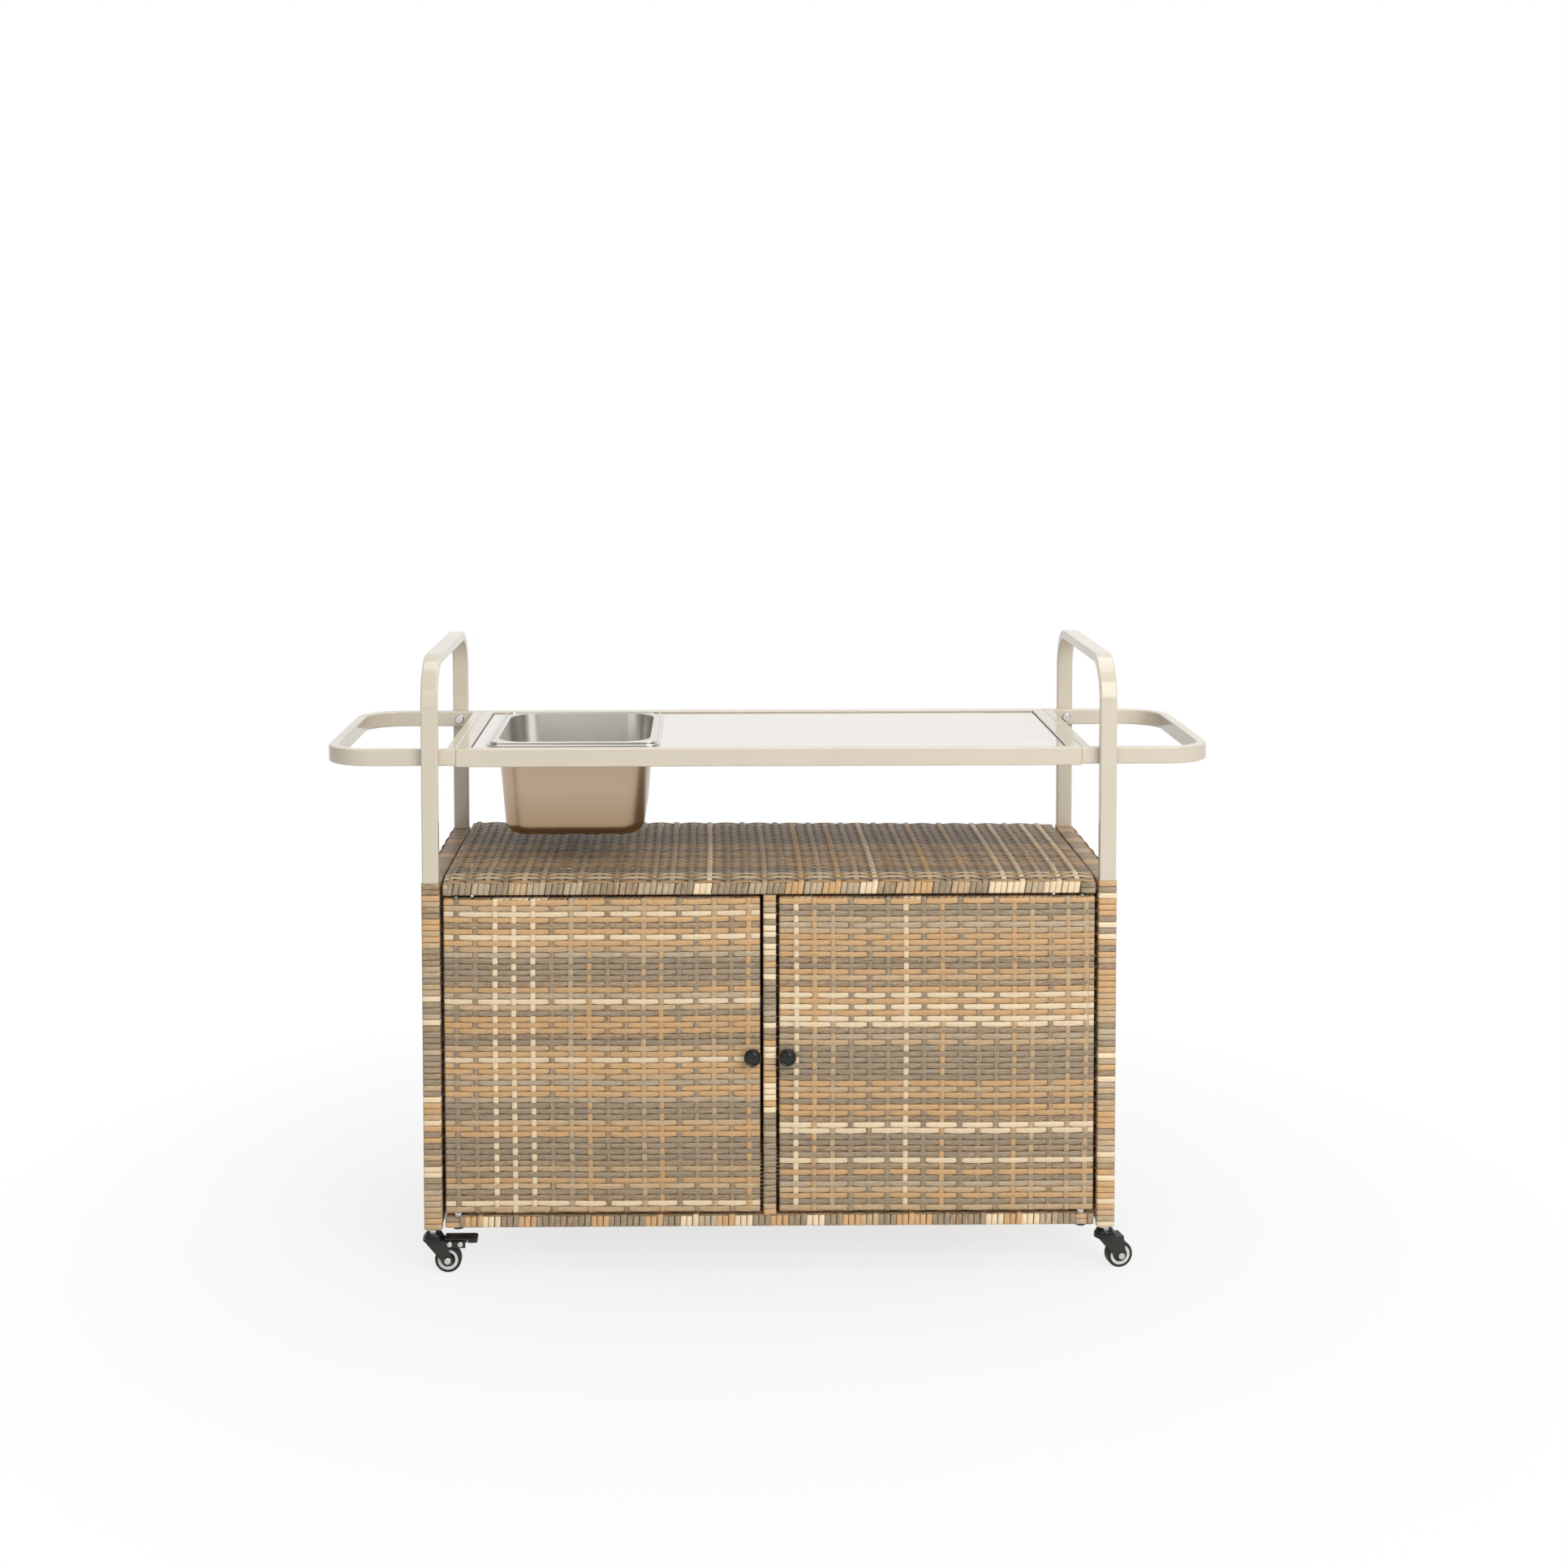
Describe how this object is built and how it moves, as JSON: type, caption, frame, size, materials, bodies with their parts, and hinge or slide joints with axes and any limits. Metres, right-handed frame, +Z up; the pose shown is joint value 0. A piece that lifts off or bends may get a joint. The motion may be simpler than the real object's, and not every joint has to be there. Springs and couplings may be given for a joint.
{
  "type": "outdoor bar cart",
  "caption": "Wheeled outdoor bar cart: wicker cabinet with hinged doors, open shelf, glass table with a lift-out steel pan, and tube handle loops.",
  "frame": {"origin": "on the floor, at the middle of the cabinet's plan", "axes": "+X along the cart away from the pan, -Y towards the doors, +Z up"},
  "size_m": [1.34, 0.4904, 0.93],
  "materials": {
    "beige_paint": "satin powder coat",
    "brown_paint": "matt powder coat",
    "wicker": "flat woven strips in mixed tan, cream and taupe",
    "table_glass": "opaque back-painted, polished",
    "soft_strip": "matte",
    "pan_steel": "satin",
    "bright_steel": "zinc plated",
    "black_plastic": "matte",
    "black_gloss": "semi-gloss",
    "black_steel": "black coat",
    "tyre_rubber": "smooth",
    "pale_plastic": "moulded"
  },
  "bodies": {
    "frame": {"panel_bolts": "bright_steel", "handle_bolts": "bright_steel", "left_arch": "beige_paint", "left_side_weave": "wicker", "right_arch": "beige_paint", "right_side_weave": "wicker", "side_rails": "beige_paint", "post_plugs": "black_plastic", "post_wraps": "wicker", "pivot_bushes": "black_plastic", "pivot_washers": "bright_steel", "centre_post": "brown_paint", "centre_post_wrap": "wicker", "shelf_frame": "brown_paint", "shelf_weave": "wicker", "floor_frame": "brown_paint", "floor_weave": "wicker", "back_frame": "brown_paint", "back_weave": "wicker", "door_catch": "black_plastic", "table_frame": "beige_paint", "glass_strip": "soft_strip", "glass_top": "table_glass", "left_handle": "beige_paint", "right_handle": "beige_paint", "handle_crossbars": "beige_paint", "caster_stems": "black_steel", "caster_nuts": "bright_steel"},
    "left_door": {"left_door_pivot_pins": "bright_steel", "left_door_knob_screw": "bright_steel", "left_door_frame": "brown_paint", "left_door_weave": "wicker", "left_door_knob": "black_gloss"},
    "right_door": {"right_door_pivot_pins": "bright_steel", "right_door_knob_screw": "bright_steel", "right_door_frame": "brown_paint", "right_door_weave": "wicker", "right_door_knob": "black_gloss"},
    "pan": {"pan": "pan_steel"},
    "front_left_swivel": {"front_left_fork": "black_steel", "front_left_axle": "bright_steel", "front_left_brake_rivets": "bright_steel"},
    "front_left_wheel": {"front_left_wheel_core": "pale_plastic", "front_left_tyre": "tyre_rubber"},
    "front_left_brake": {"front_left_brake_pedal": "black_steel"},
    "front_right_swivel": {"front_right_fork": "black_steel", "front_right_axle": "bright_steel"},
    "front_right_wheel": {"front_right_wheel_core": "pale_plastic", "front_right_tyre": "tyre_rubber"},
    "rear_left_swivel": {"rear_left_fork": "black_steel", "rear_left_axle": "bright_steel", "rear_left_brake_rivets": "bright_steel"},
    "rear_left_wheel": {"rear_left_wheel_core": "pale_plastic", "rear_left_tyre": "tyre_rubber"},
    "rear_left_brake": {"rear_left_brake_pedal": "black_steel"},
    "rear_right_swivel": {"rear_right_fork": "black_steel", "rear_right_axle": "bright_steel"},
    "rear_right_wheel": {"rear_right_wheel_core": "pale_plastic", "rear_right_tyre": "tyre_rubber"}
  },
  "joints": [
    {"name": "left_door_hinge", "type": "hinge", "parent": "frame", "child": "left_door", "pos_m": [-0.47, -0.2125, 0.091], "axis": [0, 0, -1], "range_deg": [0, 120]},
    {"name": "right_door_hinge", "type": "hinge", "parent": "frame", "child": "right_door", "pos_m": [0.47, -0.2125, 0.091], "axis": [0, 0, 1], "range_deg": [0, 120]},
    {"name": "pan_lift", "type": "slide", "parent": "frame", "child": "pan", "axis": [0, 0, 1], "range_m": [0, 0.2]},
    {"name": "front_left_caster_swivel", "type": "hinge", "parent": "frame", "child": "front_left_swivel", "pos_m": [-0.5075, -0.2125, 0.05], "axis": [0, 0, 1], "continuous": true},
    {"name": "front_left_wheel_roll", "type": "hinge", "parent": "front_left_swivel", "child": "front_left_wheel", "pos_m": [-0.4855, -0.2125, 0.02], "axis": [0, 1, 0], "continuous": true},
    {"name": "front_left_brake_press", "type": "hinge", "parent": "front_left_swivel", "child": "front_left_brake", "pos_m": [-0.4665, -0.2125, 0.045], "axis": [0, 1, 0], "range_deg": [0, 10]},
    {"name": "front_right_caster_swivel", "type": "hinge", "parent": "frame", "child": "front_right_swivel", "pos_m": [0.5075, -0.2125, 0.05], "axis": [0, 0, 1], "continuous": true},
    {"name": "front_right_wheel_roll", "type": "hinge", "parent": "front_right_swivel", "child": "front_right_wheel", "pos_m": [0.52902, -0.20793, 0.02], "axis": [-0.2079, 0.9781, 0], "continuous": true},
    {"name": "rear_left_caster_swivel", "type": "hinge", "parent": "frame", "child": "rear_left_swivel", "pos_m": [-0.5075, 0.2125, 0.05], "axis": [0, 0, 1], "continuous": true},
    {"name": "rear_left_wheel_roll", "type": "hinge", "parent": "rear_left_swivel", "child": "rear_left_wheel", "pos_m": [-0.48598, 0.21707, 0.02], "axis": [-0.2079, 0.9781, 0], "continuous": true},
    {"name": "rear_left_brake_press", "type": "hinge", "parent": "rear_left_swivel", "child": "rear_left_brake", "pos_m": [-0.4674, 0.22102, 0.045], "axis": [-0.2079, 0.9781, 0], "range_deg": [0, 10]},
    {"name": "rear_right_caster_swivel", "type": "hinge", "parent": "frame", "child": "rear_right_swivel", "pos_m": [0.5075, 0.2125, 0.05], "axis": [0, 0, 1], "continuous": true},
    {"name": "rear_right_wheel_roll", "type": "hinge", "parent": "rear_right_swivel", "child": "rear_right_wheel", "pos_m": [0.52164, 0.22935, 0.02], "axis": [-0.766, 0.6428, 0], "continuous": true}
  ]
}
